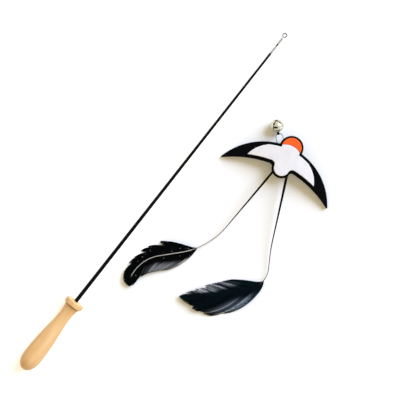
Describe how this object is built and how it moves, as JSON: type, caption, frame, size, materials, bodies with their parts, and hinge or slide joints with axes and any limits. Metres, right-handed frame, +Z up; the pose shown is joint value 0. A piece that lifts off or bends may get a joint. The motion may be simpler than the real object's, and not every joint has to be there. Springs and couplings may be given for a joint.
{
  "type": "cat teaser wand",
  "caption": "Cat teaser wand lying flat: turned wooden handle, tapered black rod with swivel ring, and a felt bird lure with stripped feathers and a jingle bell on a cord loop",
  "frame": {"origin": "middle of the bounding box on the surface that the wand and its lure lie on", "axes": "+X along the wand from the handle's butt to the tip ring, +Y from the lure towards the wand, +Z up"},
  "size_m": [0.4978, 0.1759, 0.0253],
  "materials": {
    "beech": "satin",
    "black_fibreglass": "satin",
    "nickel_plate": "polished",
    "blackened_steel": "satin",
    "black_felt": "matte",
    "white_felt": "matte",
    "orange_felt": "matte",
    "quill_keratin": "satin",
    "feather_vane": "satin",
    "grey_cord": "matte",
    "black_thread": "matte",
    "pellet_steel": "satin"
  },
  "bodies": {
    "wand": {"handle": "beech", "rod": "black_fibreglass", "tip_ferrule": "nickel_plate", "swivel_pin": "blackened_steel"},
    "swivel": {"swivel_barrel": "nickel_plate"},
    "ring": {"tip_ring": "nickel_plate"},
    "toy": {"lower_wing_sheet": "black_felt", "upper_wing_sheet": "black_felt", "body_panel": "white_felt", "head_panel": "orange_felt", "left_quill": "quill_keratin", "right_quill": "quill_keratin", "left_vane": "feather_vane", "right_vane": "feather_vane", "cord_loop": "grey_cord", "loop_knot": "black_thread"},
    "bell": {"bell_cap": "nickel_plate", "bell_cup": "nickel_plate", "bell_eye": "nickel_plate"},
    "pellet": {"bell_pellet": "pellet_steel"}
  },
  "joints": [
    {"name": "swivel_spin", "type": "hinge", "parent": "wand", "child": "swivel", "pos_m": [0.24343, 0.0762, 0.0015], "axis": [0.9997, 0, -0.0259], "continuous": true},
    {"name": "ring_swing", "type": "hinge", "parent": "swivel", "child": "ring", "pos_m": [0.24343, 0.0762, 0.0015], "axis": [0, -1, 0], "range_deg": [-110, 110]},
    {"name": "toy_lift", "type": "slide", "parent": "wand", "child": "toy", "axis": [0, 0, 1], "range_m": [0, 0.12]},
    {"name": "bell_swing", "type": "hinge", "parent": "toy", "child": "bell", "pos_m": [0.15053, 0.01226, 0.00215], "axis": [-0.7605, 0.6493, 0], "range_deg": [0, 120]},
    {"name": "pellet_roll", "type": "hinge", "parent": "bell", "child": "pellet", "pos_m": [0.15531, 0.01786, 0.0075], "axis": [-0.5253, -0.6153, -0.5878], "continuous": true}
  ]
}
